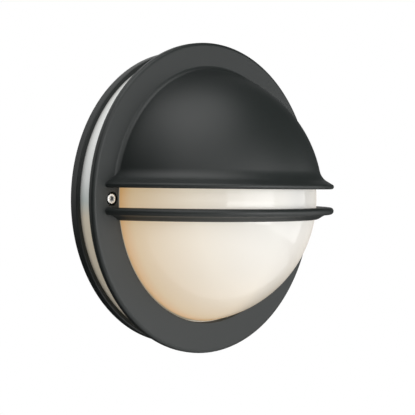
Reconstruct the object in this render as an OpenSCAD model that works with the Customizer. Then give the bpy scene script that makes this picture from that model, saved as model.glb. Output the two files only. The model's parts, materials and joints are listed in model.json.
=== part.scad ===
// Round outdoor wall light with a flared half hood over an opal dome.
// The wall is the plane y = 0, the light faces -Y and +Z is up.

/* [Cover ring] */
// Outside diameter of the flat ring
ring_d = 270; // [262:1:290]
// Width of the ring between its edge and the dome's opening
ring_w = 26.8; // [25:0.1:30]
// Thickness of the ring at its rim
ring_t = 6; // [5.6:0.1:8]
// Thickness of the ring's plate over its cored back
ring_plate = 3; // [2.4:0.1:4]
// Rounding of the ring's outer front edge
ring_edge_r = 3; // [1:0.1:3.5]
// Distance from the wall to the back of the ring
ring_stand = 30; // [28:0.5:40]

/* [Hood] */
// How far the hood rises in front of the ring
hood_rise = 88.5; // [84:0.1:96]
// How far outside the opening the hood meets the ring
hood_foot = 4.1; // [3.6:0.1:6]
// Wall thickness of the hood
hood_wall = 3; // [2:0.1:3.6]
// Fillet where the hood meets the ring
hood_root_r = 2.5; // [1:0.1:4]
// Height of the lip's underside above the centre line
lip_z = 9; // [8:0.1:14]
// How far the lip flares out beyond the hood
lip_out = 9.8; // [7:0.1:11.5]
// Radius of the lip's rounded nose
lip_nose_r = 2.2; // [1.8:0.1:2.8]
// Fall of the lip's upper face towards its nose, in degrees
lip_fall = 30; // [24:1:36]
// Radius of the hollow curve between hood and lip
lip_sweep_r = 14; // [9:0.5:16]

/* [Bar] */
// Depth of the bar's top below the centre line
bar_z = 7; // [6.5:0.1:12]
// Height of the bar
bar_h = 10.8; // [9:0.1:14]
// Radius of the bar's rounded nose
bar_nose_r = 3.05; // [2.5:0.05:3.6]
// Length of the level stretch under the nose
bar_level = 1.8; // [1:0.1:3]
// Clearance between the bar and the dome
bar_gap = 0.5; // [0.3:0.1:1.5]

/* [Diffuser] */
// Clearance between the dome and the opening at the ring's back
dome_gap = 0.6; // [0.4:0.1:2]
// Clearance between the dome's crown and the hood
dome_clear = 2; // [1.6:0.1:5]
// Wall thickness of the diffuser
diffuser_wall = 2.5; // [2:0.1:3]
// Distance from the cover screws to the outside of the diffuser's skirt
skirt_margin = 9.5; // [9:0.1:11]
// Rounding of the skirt's shoulder
skirt_edge_r = 2; // [1:0.1:2.2]

/* [Base] */
// Height of the base's rim above the wall
base_h = 8; // [7.4:0.1:10]
// Width of the rim outside the diffuser's skirt
base_rim = 4.2; // [3.6:0.1:6]
// Thickness of the base's floor
base_floor = 2.8; // [2.4:0.1:3]
// Hollow behind the floor
base_relief = 1.2; // [1:0.1:1.4]
// Rounding of the rim's front edge
base_edge_r = 1.2; // [0.5:0.1:1.5]
// Height of the floor's ribs
rib_h = 2.4; // [1.5:0.1:2.6]
// Number of ribs on the floor
rib_n = 6; // [6:6:12]
// Height of the gasket under the skirt
gasket_h = 2; // [1.5:0.1:2.2]

/* [Wall fixing] */
// Diameter of the circle of fixing holes
fixing_pcd = 180; // [176:1:186]
// Diameter of a fixing hole
fixing_d = 6; // [5:0.1:7]
// Diameter of the hole for the cable grommet
entry_d = 22; // [20:0.5:24]
// Depth of the cable entry below the centre
entry_drop = 74; // [72:1:78]
// Diameter of the hole in the cable grommet
cable_d = 9; // [6:0.5:11]

/* [Cover screws] */
// Thread diameter of the cover screws
cover_screw_d = 5; // [4:0.5:5.5]
// Head diameter of the cover screws
cover_head_d = 8.5; // [8:0.1:9.5]
// Head height of the cover screws
cover_head_h = 3.5; // [3:0.1:3.6]
// Size across the flats of the hexagon socket
cover_socket = 4; // [3:0.5:4.5]
// Length of the cover screws under the head
cover_screw_l = 25; // [20:0.5:26]
// Distance from the dome's opening to the screws' centres
screw_inset = 7.3; // [7:0.1:8]
// Depth of the screw head below the ring's face
head_sink = 0.5; // [0.2:0.1:0.8]

/* [Lamp] */
// Distance from the wall to the lamp's axis
lamp_axis = 54; // [53:0.5:58]
// Diameter of the lamp's bulb
bulb_d = 60; // [50:1:62]
// Length of the lamp from contact to crown
lamp_l = 110; // [104:1:114]
// Outside diameter of the lampholder
holder_d = 41; // [38:0.5:44]
// Length of the lampholder
holder_l = 46; // [44:0.5:48]
// Distance from the centre to the lampholder's back
holder_x = 77; // [76:0.5:78]
// Thickness of the holder's bracket
bracket_t = 1.5; // [1.2:0.1:2]
// Width of the holder's bracket
bracket_w = 28; // [26:0.5:32]

/* [Reflector] */
// Distance from the wall to the reflector's flat top
reflector_z = 20; // [19.5:0.1:21]
// Thickness of the reflector's sheet
reflector_t = 0.8; // [0.6:0.1:1.2]
// Radius of the reflector's flat top
reflector_flat_r = 70; // [68:1:72]

/* [Terminals] */
// Number of poles in the terminal block
poles = 3; // [2:1:3]
// Distance between the poles
pole_pitch = 10; // [9.5:0.1:11]
// Length of the terminal block along its wires
block_l = 17; // [16:0.5:20]
// Height of the terminal block
block_h = 12; // [11:0.1:12.4]

/* [Quality] */
// Facets of the large rounds
$fn = 180; // [96:12:240]

/* [Hidden] */

// Colours as the photograph shows them, and as such parts are made inside
powder_black = [0.14, 0.145, 0.145];
opal = [0.94, 0.90, 0.83];
seal_grey = [0.35, 0.35, 0.36];
steel = [0.72, 0.73, 0.74];
zinc = [0.66, 0.68, 0.70];
brass_tone = [0.78, 0.63, 0.33];
porcelain = [0.93, 0.92, 0.89];
enamel_white = [0.95, 0.95, 0.94];
block_white = [0.88, 0.89, 0.87];

// Play of a screw in its tapped hole, and the overlap that a cut runs past a face
thread_play = 0.05;
past = 1;
reach = 2 * ring_d;

// Small clearances: round a seal or sleeve, round a screw's shank, and round its head
seal_play = 0.1;
shank_play = 0.2;
head_play = 0.3;

// Ring and opening
ring_r = ring_d / 2;
opening_r = ring_r - ring_w;
ring_front = ring_stand + ring_t;
core_in_margin = 3.3;
core_out_margin = 4;
core_in_r = opening_r + core_in_margin;
core_out_r = ring_r - core_out_margin;
core_rib_t = 2;
core_rib_turns = [30 : 30 : 150];
screw_pad = 3;
bead_r = 0.8;
rim_chamfer = 0.6;

// The hood is a ball's cap, so its radius and centre follow from its foot and rise
foot_r = opening_r + hood_foot;
hood_r = (foot_r * foot_r + hood_rise * hood_rise) / (2 * hood_rise);
hood_axis = ring_front + hood_rise - hood_r;
hood_inner_r = hood_r - hood_wall;
tip_r = hood_r + lip_out;

// Each curve is let into its neighbour by this much, so that they cross instead of only touching
let_in = 0.06;
root_sink = 0.5;
lip_root = 2;

// The lip's upper face falls in a straight line from the hollow curve to the nose
nose_x = tip_r - lip_nose_r;
nose_z = lip_z + lip_nose_r;
face_x = nose_x + (lip_nose_r - let_in) * sin(lip_fall);
face_z = nose_z + (lip_nose_r - let_in) * cos(lip_fall);
sweep_reach = hood_r + lip_sweep_r - let_in;
face_reach = face_x * sin(lip_fall) + face_z * cos(lip_fall) + lip_sweep_r - let_in;
sweep_tilt = 90 - lip_fall - acos(face_reach / sweep_reach);
sweep_x = sweep_reach * cos(sweep_tilt);
sweep_z = sweep_reach * sin(sweep_tilt);

// The diffuser's dome is a ball's cap too, from the back of the ring to its crown
shoulder = ring_stand;
dome_foot_r = opening_r - dome_gap;
dome_rise = ring_t + hood_rise - hood_wall - dome_clear;
dome_r = (dome_foot_r * dome_foot_r + dome_rise * dome_rise) / (2 * dome_rise);
dome_axis = shoulder + dome_rise - dome_r;
skirt_r = opening_r + screw_inset + skirt_margin;
skirt_in_r = skirt_r - diffuser_wall;

// The bar's inner face clears the dome by the stated gap
bar_in_r = dome_r + max(0, dome_axis - hood_axis) + bar_gap;
bar_wave_past = 1.9;
bar_wave_steps = 14;

// Base
base_r = skirt_r + base_rim;
floor_top = base_relief + base_floor;
groove_play = 0.4;
groove_floor = 3.8;
skirt_foot = groove_floor + gasket_h;
groove_out_r = skirt_r + groove_play;
groove_in_r = skirt_in_r - groove_play;
inner_lip_t = 2.5;
inner_lip_r = groove_in_r - inner_lip_t;
foot_ring_margin = 2.6;
foot_ring_r = inner_lip_r - foot_ring_margin;
foot_chamfer = 0.4;
rib_t = 2;
rib_start_r = 24;

// Cover screws
screw_r = opening_r + screw_inset;
seat_z = ring_front - head_sink - cover_head_h;
counterbore_play = 1.15;
counterbore_r = cover_head_d / 2 + counterbore_play;
clear_r = cover_screw_d / 2 + 0.25;
socket_depth = cover_head_h * 0.65;
seal_t = 1.5;
seal_inset = 0.2;
post_top = shoulder - diffuser_wall - seal_t;
post_wall = 2.5;
post_r = cover_screw_d / 2 + post_wall;
screw_end = seat_z - cover_screw_l;

// Small screws of 4 mm and their bosses
small_r = 2;
small_clear_r = 2.2;
small_head_r = 3.9;
small_head_h = 2.6;
small_slot_w = 1;
slot_from = 0.55;
boss_r = 4.6;
sheet_under = reflector_z - reflector_t;
foot_top = reflector_z + bracket_t;
bracket_screw_x = 45;
bracket_screw_z = 9;
reflector_screw_x = 56;
reflector_screw_z = 24;
small_screw_l = 14;

// Reflector's flange, just inside the cover screws' posts
flange_z = 9.3;
flange_w = 4.5;
flange_r = screw_r - post_r - 2;
cone_r = flange_r - flange_w;

// Wall fixings
fixing_r = fixing_d / 2;
fixing_boss_r = fixing_r + 4.5;
fixing_boss_top = 6;
fixing_seal_t = 1.5;
fixing_seal_inset = 0.8;
fixing_turns = [90, 210, 330];
entry_r = entry_d / 2;
entry_boss = 3.5;
entry_recess = 2;

// Terminal block, on a pad of the floor
pad_top = 6;
pad_l = 8;
block_z = -45;
block_w = poles * pole_pitch - 1;
cell_w = pole_pitch - 1.6;
sleeve_r = 2.6;
sleeve_in_r = 1.6;
sleeve_inset = 1;
sleeve_axis = pad_top + 4.2;
clamp_r = 1.45;
clamp_l = 6.4;
clamp_head_r = 1.9;
clamp_head_h = 3.4;
clamp_head_rise = 0.4;
clamp_spread = block_l / 2 - 4;
clamp_slot_w = 0.6;
clamp_slot_depth = 1;
block_screw_r = 1.5;
block_screw_thread = 1;
block_bore = 1.5;
block_head_r = 2.6;
block_head_h = 1.8;
block_slot_w = 0.7;
block_seat = pad_top + block_h * 0.6;
earth_x = 48;
earth_z = -38;
earth_top = 7;
earth_post_r = 5;
earth_bore_z = 2.4;
earth_washer_r = 4.5;
earth_washer_t = 1;
earth_screw_l = 5;

// Lampholder and lamp lie along X, with the lamp's crown towards +X
holder_back = -holder_x;
holder_r = holder_d / 2;
holder_floor = 12;
holder_edge = 1;
holder_waist = 2.5;
holder_rim = 6;
niche_size = 8;
niche_back = 2;
niche_side = 11;
niche_out = 4;
clip_size = 6;
clip_h = 7;
clip_head_r = 2.2;
clip_head_h = 2;
clip_bore_r = 1.4;
clip_bore_out = 4.5;
shell_r = 14.1;
shell_t = 0.4;
shell_l = 24;
shell_floor = 0.6;
shell_hole_r = 8;
contact_h = 4;
contact_w = 6;
contact_t = 0.6;
contact_play = 0.2;
lamp_tip = holder_back + holder_floor + contact_h + contact_play;
bulb_r = bulb_d / 2;
bulb_x = lamp_tip + lamp_l - bulb_r;
cap_r = 13.1;
cap_l = 27;
tip_pad_r = 5;
tip_pad_h = 1.4;
tip_cone_r = 9;
tip_cone_h = 5.5;
neck_r = 14;
neck_turn = 55;
neck_sink = 0.5;
neck_flare = 8.5;
holder_screw_spread = 12;
holder_screw_l = 9;
hole_spare = 1;
holder_screw_head_r = 3.4;
holder_screw_head_h = 2.2;
bracket_bend = 3;
bracket_foot_margin = 9;
bracket_arm_margin = 5;
lead_x = -22;
lead_z = 24;
lead_r = 5;
lead_wall = 1.8;
lead_flange = 1.2;

// Turns a shape so that its own Z points out of the wall, and lifts it off the wall
module from_wall(lift = 0) {
    rotate([90, 0, 0]) translate([0, 0, lift]) children();
}

// Places children at both cover screws
module at_cover_screws() {
    for (side = [-1, 1]) translate([side * screw_r, 0, 0]) children();
}

// Places children at the three wall fixings
module at_fixings() {
    for (turn = fixing_turns) rotate([0, 0, turn]) translate([fixing_pcd / 2, 0, 0]) children();
}

module at_bracket_screws() {
    for (side = [-1, 1]) translate([-bracket_screw_x, side * bracket_screw_z, 0]) children();
}

module at_reflector_screws() {
    for (side = [-1, 1]) translate([reflector_screw_x, side * reflector_screw_z, 0]) children();
}

// Flat ring with a rounded front edge, from its back at z = 0
module ring_blank() {
    rotate_extrude() {
        polygon([[opening_r, 0], [ring_r - rim_chamfer, 0], [ring_r, rim_chamfer],
            [ring_r, ring_t - ring_edge_r], [ring_r - ring_edge_r, ring_t],
            [opening_r + bead_r, ring_t], [opening_r, ring_t - bead_r]]);
        translate([ring_r - ring_edge_r, ring_t - ring_edge_r]) circle(r = ring_edge_r, $fn = 48);
    }
}

// Cored back of the ring, with pads left at the screws and ribs between them
module ring_core() {
    difference() {
        translate([0, 0, -past]) rotate_extrude()
            translate([core_in_r, 0]) square([core_out_r - core_in_r, ring_t - ring_plate + past]);
        at_cover_screws() translate([0, 0, -2 * past])
            cylinder(r = post_r + screw_pad, h = ring_t + 3 * past, $fn = 48);
        for (turn = core_rib_turns) rotate([0, 0, turn])
            translate([-ring_r, -core_rib_t / 2, -2 * past]) cube([ring_d, core_rib_t, ring_t + 3 * past]);
    }
}

// Section of the hood and its lip, turned about the vertical through the ball's centre
module hood_section() {
    intersection() {
        circle(r = hood_r);
        translate([0, lip_z]) square([hood_r + past, hood_r]);
    }
    under_sweep = lip_sweep_r - let_in;
    difference() {
        polygon([[hood_inner_r - lip_root, lip_z], [nose_x, lip_z], [face_x, face_z],
            [sweep_x - under_sweep * sin(lip_fall), sweep_z - under_sweep * cos(lip_fall)],
            [sweep_x, sweep_z], [hood_inner_r * cos(sweep_tilt), hood_inner_r * sin(sweep_tilt)]]);
        translate([sweep_x, sweep_z]) circle(r = lip_sweep_r, $fn = 96);
    }
    translate([nose_x, nose_z]) circle(r = lip_nose_r, $fn = 48);
}

// Fillet at the hood's foot, turned about the light's axis
module hood_root() {
    centre_h = hood_root_r - let_in;
    rise = ring_front - hood_axis + centre_h;
    centre_x = sqrt(pow(hood_r + hood_root_r - let_in, 2) - rise * rise);
    inner = hood_inner_r / (hood_r + hood_root_r);
    from_wall(ring_front) rotate_extrude() difference() {
        polygon([[centre_x * inner, -root_sink], [centre_x, -root_sink], [centre_x, centre_h],
            [centre_x * inner, centre_h - rise + rise * inner]]);
        translate([centre_x, centre_h]) circle(r = hood_root_r, $fn = 48);
    }
}

// Underside of the bar, a half wave from the nose down to the inner edge
function bar_wave(t) = -bar_z - 2 * bar_nose_r - (bar_h - 2 * bar_nose_r) * (1 - cos(180 * t)) / 2;

module bar_section() {
    nose = tip_r - bar_nose_r;
    out_r = nose - bar_level;
    in_r = bar_in_r - bar_wave_past;
    steps = bar_wave_steps;
    intersection() {
        polygon(concat([[in_r, -bar_z], [nose, -bar_z], [nose, -bar_z - 2 * bar_nose_r]],
            [for (i = [0 : steps]) [out_r + (in_r - out_r) * i / steps, bar_wave(i / steps)]]));
        translate([bar_in_r, -bar_z - bar_h - past]) square([tip_r, bar_h + 2 * past]);
    }
    translate([nose, -bar_z - bar_nose_r]) circle(r = bar_nose_r, $fn = 48);
}

// Front half of a shape turned about the hood's vertical axis, let into the ring
module turned_front() {
    intersection() {
        translate([0, -hood_axis, 0]) rotate_extrude() children();
        translate([-reach / 2, -reach - ring_front + ring_plate / 2, -reach / 2]) cube(reach);
    }
}

module front_cover() {
    color(powder_black) difference() {
        union() {
            from_wall(ring_stand) ring_blank();
            turned_front() hood_section();
            turned_front() bar_section();
            intersection() {
                hood_root();
                translate([-reach / 2, -reach / 2, lip_z]) cube(reach);
            }
        }
        intersection() {
            translate([0, -hood_axis, 0]) sphere(r = hood_inner_r);
            translate([-reach / 2, -reach - ring_front, lip_z - past]) cube(reach);
        }
        from_wall(ring_stand - past) cylinder(r = opening_r, h = ring_t + past);
        from_wall(ring_stand) ring_core();
        from_wall(seat_z) at_cover_screws() cylinder(r = counterbore_r, h = ring_t, $fn = 48);
        from_wall(ring_stand - past) at_cover_screws() cylinder(r = clear_r, h = ring_t, $fn = 48);
    }
}

// Half section of the dome's ball in front of the given height
module dome_half(r, from) {
    intersection() {
        translate([0, dome_axis]) circle(r = r);
        translate([0, from]) square([r, dome_axis + r]);
    }
}

module diffuser() {
    under = shoulder - diffuser_wall;
    color(opal) from_wall() difference() {
        rotate_extrude() difference() {
            union() {
                polygon([[0, skirt_foot], [skirt_r, skirt_foot], [skirt_r, shoulder - skirt_edge_r],
                    [skirt_r - skirt_edge_r, shoulder], [0, shoulder]]);
                translate([skirt_r - skirt_edge_r, shoulder - skirt_edge_r]) circle(r = skirt_edge_r, $fn = 48);
                dome_half(dome_r, shoulder - past);
            }
            translate([0, skirt_foot - past]) square([skirt_in_r, under - skirt_foot + past]);
            dome_half(dome_r - diffuser_wall, under - past);
        }
        at_cover_screws() translate([0, 0, under - past])
            cylinder(r = clear_r, h = diffuser_wall + 2 * past, $fn = 48);
    }
}

module base_gasket() {
    color(seal_grey) from_wall(groove_floor) rotate_extrude()
        translate([groove_in_r + seal_play, 0]) square([groove_out_r - groove_in_r - 2 * seal_play, gasket_h]);
}

module at_cable_entry() {
    translate([0, -entry_drop, 0]) children();
}

// Solid post that stands on the floor
module post(top, r) {
    translate([0, 0, floor_top - past]) cylinder(r = r, h = top - floor_top + past, $fn = 48);
}

// Round pan with its rim, the gasket's groove, a centre ring and radial ribs
module base_pan() {
    rotate_extrude() {
        polygon([[0, base_relief], [foot_ring_r, base_relief], [foot_ring_r, 0],
            [base_r - foot_chamfer, 0], [base_r, foot_chamfer],
            [base_r, base_h - base_edge_r], [base_r - base_edge_r, base_h], [groove_out_r, base_h],
            [groove_out_r, groove_floor], [groove_in_r, groove_floor], [groove_in_r, base_h],
            [inner_lip_r, base_h], [inner_lip_r, floor_top], [0, floor_top]]);
        translate([base_r - base_edge_r, base_h - base_edge_r]) circle(r = base_edge_r, $fn = 48);
    }
    for (i = [0 : rib_n - 1]) rotate([0, 0, 360 * i / rib_n])
        translate([rib_start_r, -rib_t / 2, floor_top - past])
            cube([inner_lip_r - rib_start_r + past, rib_t, rib_h + past]);
    rotate_extrude() translate([rib_start_r - rib_t / 2, floor_top - past]) square([rib_t, rib_h + past]);
}

module wall_base() {
    color(powder_black) from_wall() difference() {
        union() {
            base_pan();
            at_cover_screws() post(post_top, post_r);
            at_bracket_screws() post(sheet_under, boss_r);
            at_reflector_screws() post(sheet_under, boss_r);
            at_fixings() cylinder(r = fixing_boss_r, h = fixing_boss_top, $fn = 48);
            translate([0, block_z, floor_top - past]) block_pad();
            translate([earth_x, earth_z, 0]) post(earth_top, earth_post_r);
            at_cable_entry() cylinder(r = entry_r + entry_boss, h = floor_top, $fn = 96);
        }
        at_cover_screws() translate([0, 0, screw_end - past]) tapped(cover_screw_d / 2, post_top);
        translate([0, 0, -small_screw_l - past]) {
            at_bracket_screws() translate([0, 0, foot_top]) tapped(small_r, foot_top);
            at_reflector_screws() translate([0, 0, reflector_z]) tapped(small_r, reflector_z);
        }
        at_fixings() translate([0, 0, -past]) cylinder(r = fixing_r, h = base_h, $fn = 48);
        at_block_screw() translate([0, 0, floor_top - block_bore]) tapped(block_screw_r, base_h);
        translate([earth_x, earth_z, earth_bore_z]) tapped(small_r, earth_top);
        at_cable_entry() translate([0, 0, -past]) {
            cylinder(r = entry_r, h = base_h, $fn = 96);
            cylinder(r = entry_r + entry_recess, h = base_relief + past, $fn = 96);
        }
    }
}

// Tapped hole, drawn at the thread's outside diameter
module tapped(r, depth) {
    cylinder(r = r + thread_play, h = depth, $fn = 48);
}

// Pad under the terminal block
module block_pad() {
    translate([-block_w / 2, -pad_l / 2, 0]) cube([block_w, pad_l, pad_top - floor_top + past]);
}

// Screw with a flat cheese head, its seat at z = 0 and its shank downwards
module small_screw(r, l, head_r, head_h, slot_w) {
    difference() {
        union() {
            translate([0, 0, -l]) cylinder(r = r, h = l, $fn = 48);
            cylinder(r = head_r, h = head_h, $fn = 48);
        }
        translate([-head_r - past, -slot_w / 2, head_h * slot_from])
            cube([2 * (head_r + past), slot_w, head_h]);
    }
}

module cover_screws() {
    color(steel) from_wall(seat_z) at_cover_screws() difference() {
        union() {
            translate([0, 0, -cover_screw_l]) cylinder(r = cover_screw_d / 2, h = cover_screw_l, $fn = 48);
            cylinder(r = cover_head_d / 2, h = cover_head_h, $fn = 48);
        }
        translate([0, 0, cover_head_h - socket_depth])
            cylinder(r = cover_socket / sqrt(3), h = cover_head_h, $fn = 6);
    }
}

module washer(r, hole_r, t) {
    difference() {
        cylinder(r = r, h = t, $fn = 48);
        translate([0, 0, -past]) cylinder(r = hole_r, h = t + 2 * past, $fn = 48);
    }
}

module screw_seals() {
    color(seal_grey) from_wall(post_top) at_cover_screws()
        washer(post_r - seal_inset, cover_screw_d / 2 + thread_play, seal_t);
}

module fixing_seals() {
    color(seal_grey) from_wall(fixing_boss_top) at_fixings()
        washer(fixing_boss_r - fixing_seal_inset, fixing_r, fixing_seal_t);
}

// Grommet with a groove that holds the floor between its flanges
module cable_grommet() {
    flange = 1.6;
    web = 2.2;
    nose = 5;
    nose_t = 1.4;
    bore_r = cable_d / 2;
    color(seal_grey) from_wall() at_cable_entry() rotate_extrude()
        polygon([[bore_r, 0], [entry_r + flange, 0], [entry_r + flange, base_relief], [entry_r, base_relief],
            [entry_r, floor_top], [entry_r + flange, floor_top], [entry_r + flange / 2, floor_top + flange],
            [bore_r + web, floor_top + web], [bore_r + nose_t, floor_top + nose], [bore_r, floor_top + nose]]);
}

module at_poles() {
    for (i = [0 : poles - 1]) translate([(i - (poles - 1) / 2) * pole_pitch, block_z, 0]) children();
}

module at_clamps() {
    at_poles() for (side = [-1, 1]) translate([0, side * clamp_spread, 0]) children();
}

// The block's own screw passes between two poles
module at_block_screw() {
    translate([pole_pitch / 2, block_z, 0]) children();
}

module terminal_block() {
    color(block_white) from_wall() difference() {
        union() {
            at_poles() translate([-cell_w / 2, -block_l / 2, pad_top]) cube([cell_w, block_l, block_h]);
            translate([-block_w / 2 + cell_w / 2, block_z - block_l / 4, pad_top])
                cube([block_w - cell_w, block_l / 2, block_seat - pad_top]);
        }
        at_poles() translate([0, block_l, sleeve_axis]) rotate([90, 0, 0])
            cylinder(r = sleeve_r + thread_play, h = 2 * block_l, $fn = 48);
        at_clamps() translate([0, 0, sleeve_axis])
            cylinder(r = clamp_head_r + head_play, h = block_h, $fn = 48);
        at_block_screw() {
            cylinder(r = block_screw_r + shank_play, h = 2 * block_h, $fn = 48);
            translate([0, 0, block_seat]) cylinder(r = block_head_r + head_play, h = block_h, $fn = 48);
        }
    }
}

module terminal_sleeves() {
    color(brass_tone) from_wall() difference() {
        at_poles() translate([0, block_l / 2 - sleeve_inset, sleeve_axis]) rotate([90, 0, 0]) difference() {
            cylinder(r = sleeve_r, h = block_l - 2 * sleeve_inset, $fn = 48);
            translate([0, 0, -past]) cylinder(r = sleeve_in_r, h = block_l, $fn = 48);
        }
        at_clamps() translate([0, 0, sleeve_axis]) cylinder(r = clamp_r + thread_play, h = block_h, $fn = 48);
    }
}

module terminal_clamps() {
    color(zinc) from_wall() at_clamps() difference() {
        union() {
            translate([0, 0, sleeve_axis]) cylinder(r = clamp_r, h = clamp_l, $fn = 48);
            translate([0, 0, sleeve_axis + sleeve_r + clamp_head_rise])
                cylinder(r = clamp_head_r, h = clamp_head_h, $fn = 48);
        }
        translate([-clamp_head_r - past, -clamp_slot_w / 2, sleeve_axis + clamp_l - clamp_slot_depth])
            cube([2 * (clamp_head_r + past), clamp_slot_w, clamp_slot_depth + past]);
    }
}

module terminal_screw() {
    color(zinc) from_wall(block_seat) at_block_screw()
        small_screw(block_screw_r, block_seat - floor_top + block_screw_thread, block_head_r, block_head_h,
            block_slot_w);
}

module earth_washer() {
    color(brass_tone) from_wall(earth_top) translate([earth_x, earth_z, 0])
        washer(earth_washer_r, small_r + shank_play, earth_washer_t);
}

module earth_screw() {
    color(brass_tone) from_wall(earth_top + earth_washer_t) translate([earth_x, earth_z, 0])
        small_screw(small_r, earth_screw_l, small_head_r, small_head_h, small_slot_w);
}

// Sheet reflector: a flat top, a cone down towards the skirt and a level flange
module reflector() {
    drop = reflector_z - flange_z;
    color(enamel_white) from_wall(reflector_z) difference() {
        rotate_extrude() polygon([[0, 0], [reflector_flat_r, 0], [cone_r, -drop], [flange_r, -drop],
            [flange_r, -drop - reflector_t], [cone_r - 0.2, -drop - reflector_t],
            [reflector_flat_r - 0.2, -reflector_t], [0, -reflector_t]]);
        translate([0, 0, -past - reflector_t]) {
            at_bracket_screws() cylinder(r = small_clear_r, h = 2 * past + reflector_t, $fn = 48);
            at_reflector_screws() cylinder(r = small_clear_r, h = 2 * past + reflector_t, $fn = 48);
            translate([lead_x, lead_z, 0]) cylinder(r = lead_r, h = 2 * past + reflector_t, $fn = 48);
        }
    }
}

// Bush that lines the hole for the lamp's leads
module lead_bush() {
    t = lead_flange;
    hole_r = lead_r - lead_wall;
    waist_r = lead_r - thread_play;
    rim_r = lead_r + t;
    color(seal_grey) from_wall(sheet_under) translate([lead_x, lead_z, 0]) rotate_extrude($fn = 96)
        polygon([[hole_r, -t], [rim_r, -t], [rim_r, 0], [waist_r, 0], [waist_r, reflector_t],
            [rim_r, reflector_t], [rim_r - t / 2, reflector_t + t], [hole_r, reflector_t + t]]);
}

module reflector_screws() {
    color(zinc) from_wall(reflector_z) at_reflector_screws()
        small_screw(small_r, small_screw_l, small_head_r, small_head_h, small_slot_w);
}

module bracket_screws() {
    color(zinc) from_wall(foot_top) at_bracket_screws()
        small_screw(small_r, small_screw_l, small_head_r, small_head_h, small_slot_w);
}

// Strip bent up through a right angle behind the lampholder
module holder_bracket() {
    bend = bracket_bend;
    back = holder_back - bracket_t;
    arm_top = lamp_axis + holder_screw_spread + bracket_arm_margin;
    foot_end = -bracket_screw_x + bracket_foot_margin;
    color(zinc) difference() {
        rotate([90, 0, 0]) translate([0, 0, reflector_z]) rotate([90, 0, 0]) translate([0, 0, -bracket_w / 2])
            linear_extrude(bracket_w) {
                translate([back, bend]) square([bracket_t, arm_top - reflector_z - bend]);
                translate([back + bend, 0]) square([foot_end - back - bend, bracket_t]);
                intersection() {
                    translate([back + bend, bend]) difference() {
                        circle(r = bend, $fn = 48);
                        circle(r = bend - bracket_t, $fn = 48);
                    }
                    translate([back, 0]) square([bend, bend]);
                }
            }
        from_wall(reflector_z - past) at_bracket_screws()
            cylinder(r = small_clear_r, h = 2 * past + bracket_t, $fn = 48);
        at_holder_screws() translate([0, 0, -bracket_t - past])
            cylinder(r = small_clear_r, h = bracket_t + 2 * past, $fn = 48);
    }
}

// Lies along the lamp's axis: its own Z runs along +X from the holder's back
module along_lamp(start = 0) {
    translate([start, -lamp_axis, 0]) rotate([0, 90, 0]) children();
}

module at_holder_screws() {
    for (side = [-1, 1]) along_lamp(holder_back) translate([0, side * holder_screw_spread, 0]) children();
}

// Both wire clips stand side by side in niches of the lampholder's underside
module at_clips() {
    for (side = [-1, 1])
        translate([holder_back + niche_back, -lamp_axis + niche_out, side * niche_side]) children();
}

// Waisted porcelain body, hollow for the screw shell
module lampholder_body() {
    edge = holder_edge;
    waist_r = holder_r - holder_waist;
    slope = holder_rim / 2;
    color(porcelain) difference() {
        along_lamp(holder_back) rotate_extrude($fn = 96)
            polygon([[0, 0], [holder_r - edge, 0], [holder_r, edge], [holder_r, holder_floor],
                [waist_r, holder_floor + slope], [waist_r, holder_l - holder_rim - slope],
                [holder_r, holder_l - holder_rim], [holder_r, holder_l - edge], [holder_r - edge, holder_l],
                [shell_r + edge, holder_l], [shell_r, holder_l - edge], [shell_r, holder_floor],
                [0, holder_floor]]);
        at_holder_screws() translate([0, 0, -past]) tapped(small_r, holder_screw_l + past);
        at_clips() translate([0, 0, -niche_size / 2]) cube([niche_size, holder_r, niche_size]);
    }
}

module lampholder_shell() {
    color(brass_tone) along_lamp(holder_back + holder_floor) difference() {
        cylinder(r = shell_r - thread_play, h = shell_l, $fn = 96);
        translate([0, 0, shell_floor]) cylinder(r = shell_r - thread_play - shell_t, h = shell_l, $fn = 96);
        translate([0, 0, -past]) cylinder(r = shell_hole_r, h = shell_l, $fn = 96);
    }
}

// Spring tongue under the lamp's tip
module lampholder_contact() {
    t = contact_t;
    h = contact_h;
    foot = -contact_w;
    tongue = -contact_w / 2;
    bend = contact_w / 3;
    color(brass_tone) translate([holder_back + holder_floor, -lamp_axis, -contact_w / 2])
        linear_extrude(contact_w)
            polygon([[0, foot], [t, foot], [t, bend - t], [h - t, bend - t], [h - t, tongue], [h, tongue],
                [h, bend], [0, bend]]);
}

module lampholder_terminals() {
    half = clip_size / 2;
    color(brass_tone) at_clips() translate([niche_size / 2, seal_play, 0]) {
        difference() {
            translate([-half, 0, -half]) cube([clip_size, clip_h, clip_size]);
            translate([0, clip_bore_out, -half - past])
                cylinder(r = clip_bore_r, h = clip_size + 2 * past, $fn = 48);
        }
        translate([0, clip_h, 0]) rotate([-90, 0, 0]) cylinder(r = clip_head_r, h = clip_head_h, $fn = 48);
    }
}

module holder_screws() {
    length = holder_screw_l + bracket_t - hole_spare;
    color(zinc) at_holder_screws() translate([0, 0, -bracket_t]) mirror([0, 0, 1])
        small_screw(small_r, length, holder_screw_head_r, holder_screw_head_h, small_slot_w);
}

module lamp_bulb() {
    bulb_at = bulb_x - lamp_tip;
    neck_end = bulb_at - bulb_r * sin(neck_turn) + neck_sink;
    color(opal) along_lamp(lamp_tip) {
        rotate_extrude($fn = 96) polygon([[0, 0], [tip_pad_r, 0], [tip_pad_r, tip_pad_h],
            [tip_cone_r, 2 * tip_pad_h], [cap_r, tip_cone_h], [cap_r, cap_l], [neck_r, cap_l + neck_sink],
            [neck_r + 1, neck_end - neck_flare], [bulb_r * cos(neck_turn), neck_end], [0, neck_end]]);
        translate([0, 0, bulb_at]) sphere(r = bulb_r, $fn = 96);
    }
}

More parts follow.
